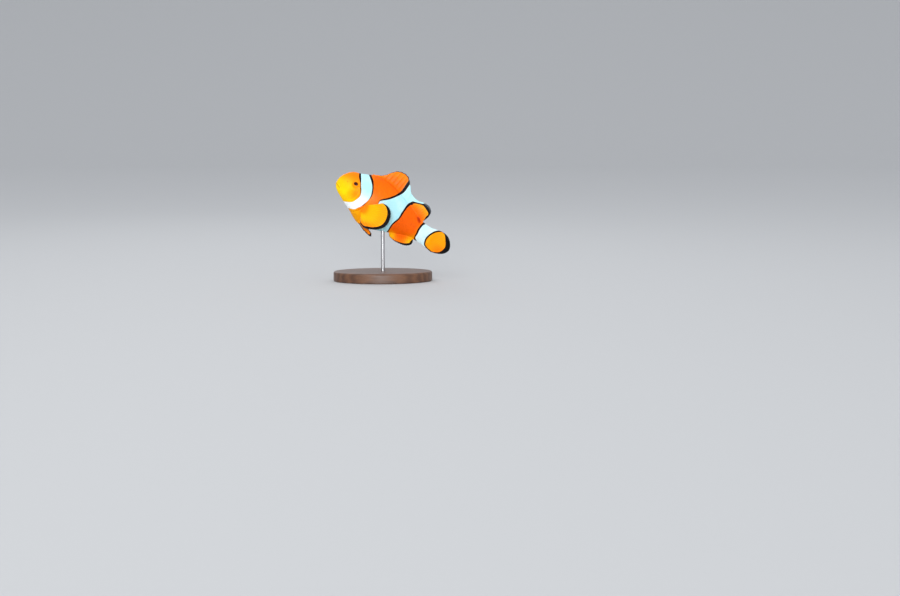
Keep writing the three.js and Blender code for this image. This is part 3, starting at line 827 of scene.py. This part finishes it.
def clownfish_colours():
    """The pattern as a group, which gives the colour at a point of skin or scale, with painted shade in
    creases and at the scales' edges.
    """
    tree = bpy.data.node_groups.new("clownfish_colours", "ShaderNodeTree")
    tree.interface.new_socket("Shade", in_out="INPUT", socket_type="NodeSocketFloat").default_value = 0.0
    tree.interface.new_socket("Color", in_out="OUTPUT", socket_type="NodeSocketColor")
    given, result = tree.nodes.new("NodeGroupInput"), tree.nodes.new("NodeGroupOutput")

    def mark(name):
        return mark_node(tree, name)

    def work(operation, a, b=0.0, c=0.0):
        return knit(tree, "Math", {0: a, 1: b, 2: c}, operation=operation).outputs["Value"]

    def soft_edge(value, low, high):
        sockets = {"Value": value, "From Min": low, "From Max": high}
        return knit(tree, "MapRange", sockets, interpolation_type="SMOOTHSTEP").outputs["Result"]

    def blend(factor, under, over, way="MIX"):
        made = knit(tree, "Mix", {0: factor, 6: under, 7: over}, data_type="RGBA", blend_type=way)
        return made.outputs[2]

    place = knit(tree, "TexCoord").outputs["Object"]
    ragged, freckled = noise(tree, place, 2200, 2), noise(tree, place, 3200, 2)
    cloudy = noise(tree, place, 170, 3)
    jitter = work("MULTIPLY", work("SUBTRACT", ragged, 0.5), 0.17)
    warmth = work("ADD", mark("warmth"), work("MULTIPLY", work("SUBTRACT", cloudy, 0.5), 0.1))
    lemon_to_red = [
        (0.0, paint(254, 215, 3)), (0.1, paint(253, 197, 2)), (0.3, paint(252, 178, 2)),
        (0.52, paint(253, 146, 1)), (0.74, paint(251, 111, 1)), (0.84, paint(251, 98, 1)),
        (1.0, paint(190, 50, 1)),
    ]
    flesh = ramp(tree, warmth, lemon_to_red)
    along_ray = work("COSINE", work("MULTIPLY", mark("ray"), 2 * math.pi))
    on_fin = soft_edge(mark("out"), 0.1, 0.3)
    streak = work("MULTIPLY", work("ADD", along_ray, 1.0), work("MULTIPLY", on_fin, 0.11))
    flesh = blend(streak, flesh, (*paint(206, 74, 2), 1))
    grain = work("MULTIPLY", work("SUBTRACT", freckled, 0.45), 0.5)
    flesh = blend(knit(tree, "Clamp", {"Value": grain}).outputs["Result"], flesh, (*paint(214, 84, 2), 1))
    coolness = work("MULTIPLY_ADD", work("SUBTRACT", cloudy, 0.5), 0.9, mark("cool"))
    pale = ramp(tree, coolness, [(0.05, paint(247, 252, 252)), (1.0, paint(179, 234, 243))])
    white = soft_edge(work("ADD", mark("white"), jitter), -0.07, 0.07)
    colour = blend(white, flesh, pale)
    # The Shade input darkens the colour towards a deep brown, less over the white: painted shade at the
    # scales' edges.
    shade = knit(tree, "Mix", {"Factor": white, "A": 0.26, "B": 0.1}).outputs["Result"]
    shade = work("MULTIPLY", given.outputs["Shade"], shade)
    colour = blend(shade, colour, (*paint(120, 44, 10), 1))
    # Mouth, nostrils and gill slit are painted dark brown: painted shade in the creases.
    colour = blend(work("MULTIPLY", mark("crease_shade"), 0.7), colour, (*paint(92, 36, 10), 1))
    black = soft_edge(work("ADD", mark("black"), jitter), -0.1, 0.1)
    colour = blend(black, colour, (*paint(8, 6, 7), 1))
    clear_rim = soft_edge(mark("rim"), 0.24, 0.08)
    colour = blend(work("MULTIPLY", clear_rim, 0.28), colour, (*paint(150, 158, 166), 1))
    tree.links.new(colour, result.inputs["Color"])
    return tree


fish_colours = clownfish_colours()


def fish_skin(name, roughness, fine_scale, fine_depth, shaded_by=None):
    """The wet, slightly slippery skin of the fish, or of its scales."""
    material, tree, place = new_material(name)
    pattern = tree.nodes.new("ShaderNodeGroup")
    pattern.node_tree = fish_colours
    # A mark named by shaded_by darkens the colour with painted shade.
    if shaded_by:
        tree.links.new(mark_node(tree, shaded_by), pattern.inputs["Shade"])
    fine = noise(tree, place, fine_scale, 3)
    rough = between(tree, fine, roughness - 0.06, roughness + 0.08)
    sockets = {"Base Color": pattern.outputs["Color"], "Roughness": rough}
    sockets["Normal"] = relief(tree, fine, 0.4, fine_depth)
    give_finish(tree, {**sockets, "Coat Weight": 0.06, "Coat Roughness": 0.22, "Specular IOR Level": 0.07})
    return material


# ---------------------------------------------------------------------------- one skin
# Body and fins are grown together: the fins' webs are joined to the body's skin as one closed surface,
# which stands for every piece of flesh.

skin_material = fish_skin("clownfish_skin", 0.4, 2600, 0.00004)


def corner_indices(mesh):
    found = np.empty(len(mesh.loops), np.int32)
    mesh.loops.foreach_get("vertex_index", found)
    return found


def body_unwrap(mesh):
    """Each corner's place on the lower half of the unwrap, with the seam along the belly."""
    corner = corner_indices(mesh)
    ring, side = np.divmod(corner, skin_sides)
    x = ring_x[np.minimum(ring, len(ring_x) - 1)]
    tip, root = corner == len(mesh.vertices) - 2, corner == len(mesh.vertices) - 1
    x = np.where(tip, 0, np.where(root, BODY_LENGTH, x))
    share = side / skin_sides
    faces = share.reshape(-1, 3)
    wraps = (faces.max(1) - faces.min(1)) > 0.5
    faces = faces + (wraps[:, None] & (faces < 0.5))
    pole = (tip | root).reshape(-1, 3)
    beside = (faces * ~pole).sum(1) / np.maximum(1, (~pole).sum(1))
    faces = np.where(pole, beside[:, None], faces)
    flat = unwrapped(x, 0.0)
    flat[:, 1] = inset(faces.ravel()) * 0.5
    return flat


skin = make_piece("skin", posed(skin_points), skin_triangles, skin_material)
nothing = np.zeros(len(skin.data.loops))
mark_piece(skin.data, {"ray": nothing, "out": nothing, "paired": nothing})
mark_piece(skin.data, {"rim": nothing + FAR, "margin": nothing - FAR})
unwrap_piece(skin.data, body_unwrap(skin.data))

fin_pieces = []
for number, (name, (grids, tip_black, first_black, last_black)) in enumerate(fins.items()):
    middle, half, ray, out, to_tip, from_first, from_last = grids
    points, triangles, places = fin_web(middle, half)
    piece = make_piece(name, posed(points), triangles, skin_material)
    if piece.data.loops[0].vertex_index != triangles[0, 0]:
        places = places[:, ::-1]
    share = ray / ray.max()
    joined_first, joined_last = name == "dorsal_rear", name == "dorsal_front"
    # The clear rim runs round the fin but for its foot and where the two dorsal fins join.
    rooted = FAR * step(0.4, 0.15, out)
    rim = np.min([to_tip, from_first + FAR * joined_first, from_last + FAR * joined_last], axis=0) + rooted
    # The soft dorsal fin's clear rim is broad along its upper corner.
    rim = rim / (1 + 4.5 * joined_first * step(0.48, 0.58, share) * step(0.92, 0.82, share))
    # The margin runs round the rim, and thins out along the outer rays towards their roots.
    side_from = 0.6 if name.startswith("pectoral") else 0.2
    side_black = step(side_from, side_from + 0.5, out)
    sides = first_black * side_black - from_first, last_black * side_black - from_last
    margin = np.max([tip_black(share) - to_tip, *sides], axis=0)
    side_a = np.arange(len(places)) < len(places) // 2
    cell = np.array([number, 0]) + np.where(side_a, 0, 1)[:, None, None] * [0, 1]
    inside = inset(np.stack([share.ravel()[places], out.ravel()[places]], -1), 0.03)
    unwrap = (cell + inside) * [1 / len(fins), 0.25] + [0, 0.5]
    corner_marks = {"ray": ray, "out": out, "rim": rim, "margin": margin}
    corner_marks["paired"] = (out > 0.02) * float(name.startswith("pe"))
    mark_piece(piece.data, {key: grid.ravel()[places.ravel()] for key, grid in corner_marks.items()})
    unwrap_piece(piece.data, unwrap)
    join = skin.modifiers.new(name, "BOOLEAN")
    join.operation = "UNION"
    join.solver = "MANIFOLD"
    join.object = piece
    fin_pieces.append(piece)

whole = bpy.data.meshes.new_from_object(skin.evaluated_get(bpy.context.evaluated_depsgraph_get()))
skin.modifiers.clear()
skin.data = whole
for piece in fin_pieces:
    bpy.data.objects.remove(piece)
whole.shade_smooth()


def unposed(points):
    """The reverse of posed: points in metres over the stand as the level fish's millimetres."""
    return (points - posed(np.zeros((1, 3)))) @ nose_up_turn / MM


def read_corners(mesh, name):
    values = np.empty(len(mesh.loops), np.float32)
    mesh.attributes[name].data.foreach_get("value", values)
    return values


vertex_at = np.empty(len(whole.vertices) * 3, np.float32)
whole.vertices.foreach_get("co", vertex_at)
corner_at = unposed(vertex_at.reshape(-1, 3))[corner_indices(whole)]
mark_piece(whole, marks(corner_at, *(read_corners(whole, name) for name in ("out", "margin", "paired"))))
mark_piece(whole, {"crease_shade": crease_shade_at(corner_at)})
for name in ("margin", "paired"):
    whole.attributes.remove(whole.attributes[name])
flesh_nodes = ["head", "lower_jaw", "gill_cover_left", "gill_cover_right", "trunk", "tail_stalk"]
flesh_nodes += ["dorsal_fin_front", "dorsal_fin_rear", "anal_fin", "caudal_fin"]
flesh_nodes += [f"{fin}_{side}" for fin in ("pectoral_fin", "pelvic_fin") for side in ("left", "right")]
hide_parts(*flesh_nodes)
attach(skin, "root")

# ---------------------------------------------------------------------------- the eyes
# Each eye is a lens-shaped ball set in its socket, with a dark pupil in a bright orange iris under a
# smooth wet surface. It looks out square to the flank.

IRIS_SCALE = 3.0  # the distance from the eye's axis, in mm, at which its colours end
pupil_rim = 1.1 / IRIS_SCALE
eye_rings = 90


def eye_profile():
    """(distance from the eye's axis, height along it) from the front pole to the back pole."""
    polar = np.linspace(0.004, math.pi - 0.004, eye_rings)
    return EYE_RADIUS * np.sin(polar), EYE_DEPTH * np.cos(polar)


def wet_eye():
    material, tree, place = new_material("wet_eye")
    across, fibre, flecks = mark_node(tree, "across"), mark_node(tree, "fibre"), noise(tree, place, 2200, 3)
    wobble = knit(tree, "Math", {0: flecks, 1: 0.06, 2: -0.03}, operation="MULTIPLY_ADD").outputs["Value"]
    ruffle = knit(tree, "Math", {0: fibre, 1: 0.007, 2: wobble}, operation="MULTIPLY_ADD").outputs["Value"]
    reach = knit(tree, "Math", {0: across, 1: ruffle}, operation="ADD").outputs["Value"]
    share = knit(tree, "Math", {0: reach, 1: IRIS_SCALE}, operation="DIVIDE").outputs["Value"]
    # Past the iris the ball turns dark towards its rim, under the socket's edge: painted shade.
    pupil_to_rim = [
        (0.0, paint(38, 4, 3)), (pupil_rim - 0.012, paint(44, 6, 3)), (pupil_rim + 0.012, paint(170, 70, 4)),
        (0.41, paint(246, 146, 10)), (0.47, paint(226, 120, 6)), (0.6, paint(252, 156, 6)),
        (0.77, paint(252, 154, 6)), (0.84, paint(206, 100, 6)), (0.92, paint(110, 48, 8)),
    ]
    colour = ramp(tree, share, pupil_to_rim)
    gloss = {"Roughness": 0.3, "Specular IOR Level": 0.05, "Coat Weight": 0.09, "Coat Roughness": 0.04}
    give_finish(tree, {"Base Color": colour, **gloss})
    return material


eye_material = wet_eye()
eye_sides = 184
for name, side in (("left", -1), ("right", 1)):
    reach, height = eye_profile()
    seat = np.array([EYE_X, side * flank_reach(EYE_X, EYE_Z), EYE_Z])
    ahead = np.array([0.1, side * (flank_reach(EYE_X + 0.1, EYE_Z) - flank_reach(EYE_X, EYE_Z)), 0])
    above = np.array([0, side * (flank_reach(EYE_X, EYE_Z + 0.1) - flank_reach(EYE_X, EYE_Z)), 0.1])
    looks = np.cross(ahead, above) * -side
    looks /= np.linalg.norm(looks)
    forward = np.cross(looks, [0, 0, 1.0])
    forward /= np.linalg.norm(forward)
    upward = np.cross(forward, looks)
    round_eye = turns(eye_sides)
    spokes = np.cos(round_eye)[:, None] * forward + np.sin(round_eye)[:, None] * upward
    centre = seat - looks * EYE_SUNK
    rings = centre + reach[:, None, None] * spokes + (height[:, None] * looks)[:, None, :]
    points, triangles = loft(rings)
    eye = make_piece(f"eye_{name}_ball", posed(points), triangles, eye_material)
    # The pupil is a little longer than high. Away from it the iris is round.
    longer = 1 + 0.14 * np.cos(2 * round_eye)[None, :] * step(2.3, 1.0, reach)[:, None]
    across = np.concatenate([(reach[:, None] / longer).ravel(), [0, EYE_RADIUS]])
    behind = np.concatenate([np.repeat(height < 0, eye_sides), [False, True]])
    spoke = np.concatenate([np.tile(np.sin(23 * round_eye), len(reach)), [0, 0]])
    mark_piece(eye.data, {"across": np.where(behind, EYE_RADIUS, across), "fibre": spoke})
    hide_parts(f"eye_{name}")
    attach(eye, "root")

# ---------------------------------------------------------------------------- the scales
# Small, thin, rounded plates in staggered rows, each rooted under the one before and lying back towards
# the tail. They are smallest on cheeks, gill covers and tail stalk, and the snout has none.

SCALE_PITCH = 0.92  # from one scale to the next along a row, on the flank
SCALE_ROWS_APART = 1.3
SCALE_HALF_WIDTH = 0.56 * SCALE_ROWS_APART
SCALE_LIFT = 0.03  # how high a scale's middle lies. Its rear edge rises from there, and its root dips
REAR_RISE, ROOT_DIP, SCALE_CROWN = 0.035, 0.09, 0.015
SCALE_THICKNESS = 0.05
SCALE_UNDER_SKIN = 0.03
scale_spokes = 12
plate_share = np.array([0.82, 1.0])  # how far out the plate's rings lie
GIRTH_STEPS = 500  # a line from belly to back is measured in so many points
PATCH_REACH = 0.0015  # half of a scale's patch on the unwrap
PECTORAL_ROOT_X, PECTORAL_ROOT_Z = 22.6, -6.2


def scale_plate():
    """One scale's points as (tailwards, upwards, lift) and its triangles, one unit long and wide."""
    turn = turns(scale_spokes)
    tailward, upward = np.cos(turn), np.sin(turn)
    tailward = np.where(tailward > 0, 0.86 * tailward, 0.62 * tailward)
    flat = np.ones(scale_spokes)
    rings = [np.stack([share * tailward, share * upward, flat - share**2 * 0.25], 1) for share in plate_share]
    under = np.stack([0.97 * tailward, 0.97 * upward, np.full(scale_spokes, -1.0)], 1)
    points = np.concatenate([[[0, 0, 1.0]], *rings, under, [[0, 0, -1.0]]])
    beyond = (np.arange(scale_spokes) + 1) % scale_spokes
    here = np.arange(scale_spokes)
    triangles = [np.stack([0 * here, 1 + here, 1 + beyond], 1)]
    for ring in range(len(rings)):
        inner, outer = 1 + ring * scale_spokes, 1 + (ring + 1) * scale_spokes
        triangles.append(np.stack([inner + here, outer + here, outer + beyond], 1))
        triangles.append(np.stack([inner + here, outer + beyond, inner + beyond], 1))
    last = 1 + len(rings) * scale_spokes
    triangles.append(np.stack([last + beyond, last + here, 0 * here + len(points) - 1], 1))
    edge = np.concatenate([[0], np.repeat(plate_share, scale_spokes), np.ones(scale_spokes), [1]])
    return points, np.concatenate(triangles), edge


def head_scale_size(x):
    """The head scales' size at x as a share of the flank's."""
    return np.interp(x, [6, 22], [0.5, 0.66])


def body_scale_size(x):
    """The body scales' size at x, which falls off towards the tail."""
    return np.interp(x, [40, 55, 66], [1.0, 0.86, 0.68])


def scale_rows(start, end, side, size_at):
    """The scales' middles on one side as (x, angle), staggered column by column."""
    found, column, x = [], 0, start
    upward = np.linspace(-math.pi / 2, math.pi / 2, GIRTH_STEPS)
    while x < end:
        angle = upward if side < 0 else math.pi - upward
        line = outside(np.full(GIRTH_STEPS, x), angle)
        run = np.concatenate([[0], np.cumsum(np.linalg.norm(np.diff(line, axis=0), axis=1))])
        run = run - np.interp(0, upward, run)
        size = size_at(x)
        pitch = SCALE_ROWS_APART * size
        lowest = math.ceil(run[0] / pitch - 0.5 * (column % 2))
        highest = math.floor(run[-1] / pitch - 0.5 * (column % 2))
        for row in range(lowest, highest + 1):
            at = (row + 0.5 * (column % 2)) * pitch
            place = np.interp(at, run, upward)
            found.append((x, place if side < 0 else math.pi - place))
        x += 0.5 * SCALE_PITCH * size
        column += 1
    return np.array(found)


def cover(places):
    """How full the scales grow at the places: none on snout, jaws, eye and fin roots or by the gill slit."""
    point = outside(places[:, 0], places[:, 1])
    x, z = point[:, 0], point[:, 2]
    past_gill = x - gill_edge(z)
    past_cheek = past_cheek_plate(x, z)[1]
    off_snout = step(0, 2.2, x - 7.6 - 0.1 * np.abs(z + 2))
    off_eye = step(3.2, 4.6, np.hypot(x - EYE_X, z - EYE_Z))
    off_cheek_edge = np.where(z < 5, step(0.15, 0.9, np.abs(past_cheek)), 1)
    off_nape = 1 - step(6.5, 8.5, z) * step(15.5, 13.0, x)
    head = off_snout * off_eye * off_cheek_edge * off_nape * step(-0.5, -1.2, past_gill)
    off_slit = np.where(z < 8.5, step(0.55, 1.0, past_gill), 1)
    off_root = step(0.8, 1.8, np.hypot(x - PECTORAL_ROOT_X, (z - PECTORAL_ROOT_Z) / 2.6))
    return np.where(past_gill < 0, head + (z > 8.5) * off_nape, off_slit * off_root).clip(0, 1)


def lay_scales(name, places, fullness, size_at, seed):
    """Scales at those places as one piece, each a thin plate that follows the skin's curve."""
    plate, plate_triangles, edge = scale_plate()
    rng = np.random.default_rng(seed)
    count = len(places)
    size = size_at(places[:, 0]) * rng.uniform(0.96, 1.04, count) * (0.6 + 0.4 * fullness)
    x = places[:, 0, None] + plate[None, :, 0] * (SCALE_PITCH * size)[:, None]
    x = np.minimum(x, BODY_LENGTH - 0.4)
    spread = np.linalg.norm(
        outside(places[:, 0], places[:, 1] + 0.01) - outside(places[:, 0], places[:, 1] - 0.01), axis=1
    ) / 0.02
    direction = np.where(np.cos(places[:, 1]) > 0, 1, -1)
    turn = plate[None, :, 1] * (direction * SCALE_HALF_WIDTH * size / np.maximum(spread, 0.5))[:, None]
    angle = places[:, 1, None] + turn
    tailward = plate[None, :, 0]
    slope = np.where(tailward > 0, REAR_RISE, ROOT_DIP)
    top = SCALE_LIFT + slope * tailward + SCALE_CROWN * plate[None, :, 2]
    underside = np.minimum(top - SCALE_THICKNESS, 0.0) - SCALE_UNDER_SKIN
    lift = np.where(plate[None, :, 2] > 0, top, underside)
    lift = lift * (np.minimum(1, size + 0.25) * (0.1 + 0.9 * fullness))[:, None]
    points = skin_at(x, angle, lift).reshape(-1, 3)
    triangles = (np.arange(count)[:, None, None] * len(plate) + plate_triangles).reshape(-1, 3)
    piece = make_piece(name, posed(points), triangles, scale_material)
    root = unwrapped(places[:, 0], places[:, 1])
    patch = root[:, None, :] + plate[None, :, :2] * PATCH_REACH
    unwrap_piece(piece.data, patch.reshape(-1, 2)[corner_indices(piece.data)])
    nothing = np.zeros(len(points))
    pattern = marks(points, nothing, nothing - FAR, nothing)
    pattern["warmth"] = pattern["warmth"] + np.repeat(rng.uniform(-0.03, 0.03, count), len(plate))
    # Each scale is painted darker towards its raised rear edge: painted shade.
    rear_edge_shade = np.tile(np.where(plate[:, 0] > 0.2, edge**4, 0), count)
    mark_piece(piece.data, {**pattern, "scale_edge_shade": rear_edge_shade})
    mark_piece(piece.data, {"rim": nothing + FAR, "ray": nothing, "out": nothing, "crease_shade": nothing})
    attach(piece, "root")
    return piece


scale_material = fish_skin("clownfish_scales", 0.36, 5200, 0.00002, shaded_by="scale_edge_shade")
# Each field of scales has its x from and to, and its size.
scale_fields = (("body", 13.0, BODY_LENGTH - 1.6, body_scale_size), ("head", 7.0, 24.0, head_scale_size))
for name, side in (("left", -1), ("right", 1)):
    for field, start, end, size_at in scale_fields:
        places = scale_rows(start, end, side, size_at)
        on_body = places[:, 0] > gill_edge(outside(places[:, 0], places[:, 1])[:, 2])
        places = places[on_body == (field == "body")]
        fullness = cover(places)
        places, fullness = places[fullness > 0.05], fullness[fullness > 0.05]
        lay_scales(f"{field}_scales_{name}", places, fullness, size_at, seed=11)

# ---------------------------------------------------------------------------- floor, lamps and camera
# A plain pale studio floor that sweeps up round its edge, under soft lamps. The camera looks at the left
# flank from a little above.

IMAGE_WIDTH, IMAGE_HEIGHT = 900, 596
FISH_MIDDLE_PIXEL = (391.4, 209.1)
FISH_MIDDLE = (37, 0.5, 2)
CAMERA_DISTANCE = 0.76
LENS, SENSOR = 50, 36
LOOKS_DOWN = math.radians(3)
LIT_POINT = Vector((0, 0, 0.045))

floor_material, floor_tree = new_material("pale_floor")[:2]
give_finish(floor_tree, {"Base Color": (0.53, 0.54, 0.545, 1), "Roughness": 0.85})
floor_flat, sweep_radius, sweep_end = 3.5, 3.0, math.radians(58)
floor_sides = 128
floor_profile = [(0.5, 0), (1.5, 0)]
for turn in np.linspace(0, sweep_end, 40):
    floor_profile.append((floor_flat + sweep_radius * math.sin(turn), sweep_radius * (1 - math.cos(turn))))
floor_rings = [circle(radius, height, floor_sides) for radius, height in floor_profile]
floor_faces = [(0, 1 + side, 1 + (side + 1) % floor_sides) for side in range(floor_sides)]
for ring in range(len(floor_rings) - 1):
    inner = 1 + floor_sides * ring
    outer = inner + floor_sides
    for side in range(floor_sides):
        beside = (side + 1) % floor_sides
        floor_faces.append((inner + side, outer + side, outer + beside, inner + beside))
floor_mesh = bpy.data.meshes.new("floor")
floor_mesh.from_pydata(np.concatenate([[(0, 0, 0)], *floor_rings]).tolist(), [], floor_faces)
floor_mesh.shade_smooth()
floor_mesh.materials.append(floor_material)
floor = bpy.data.objects.new("floor", floor_mesh)
bpy.context.scene.collection.objects.link(floor)


def lamp(name, place, size, power, spread=180):
    """A soft round studio lamp that faces the fish, shielded down to its spread in degrees."""
    light = bpy.data.lights.new(name, "AREA")
    light.shape = "DISK"
    light.size = size
    light.energy = power
    light.spread = math.radians(spread)
    made = bpy.data.objects.new(name, light)
    made.location = place
    made.rotation_euler = (LIT_POINT - Vector(place)).to_track_quat("-Z", "Y").to_euler()
    bpy.context.scene.collection.objects.link(made)


lamp("key_lamp", (-0.45, -0.75, 0.85), 0.5, 2.0)
lamp("fill_lamp", (-0.1, -2.0, 0.38), 0.7, 2.2, spread=50)
lamp("top_lamp", (0.1, 0.15, 1.0), 0.8, 1.0)
lamp("back_lamp", (-0.3, 0.85, 0.55), 0.6, 0.12, spread=60)

world = bpy.data.worlds.new("studio")
world.use_nodes = True
world.node_tree.nodes["Background"].inputs["Color"].default_value = (0.93, 0.95, 1.0, 1)
world.node_tree.nodes["Background"].inputs["Strength"].default_value = 0.85
bpy.context.scene.world = world
bpy.context.scene.view_settings.view_transform = "Standard"

camera_data = bpy.data.cameras.new("camera")
camera_data.lens = LENS
camera_data.sensor_width = SENSOR
camera_data.clip_start, camera_data.clip_end = 0.01, 100
camera = bpy.data.objects.new("camera", camera_data)
bpy.context.scene.collection.objects.link(camera)
bpy.context.scene.camera = camera
sight = Vector((0, math.cos(LOOKS_DOWN), -math.sin(LOOKS_DOWN)))
target = Vector(posed(np.array([FISH_MIDDLE], float))[0])
camera.location = target - sight * CAMERA_DISTANCE
# The camera is level and turned just far enough that the fish's middle falls on its place in the frame.
focal = IMAGE_WIDTH * LENS / SENSOR
aside = FISH_MIDDLE_PIXEL[0] - IMAGE_WIDTH / 2
above = IMAGE_HEIGHT / 2 - FISH_MIDDLE_PIXEL[1]
ray_length = math.sqrt(aside**2 + above**2 + focal**2)
pitch = math.atan2(focal, above) + math.asin(ray_length * sight.z / math.hypot(above, focal))
ahead = above * math.cos(pitch) + focal * math.sin(pitch)
yaw = math.atan2(sight.y, sight.x) - math.atan2(ahead, aside)
camera.rotation_euler = (pitch, 0, yaw)
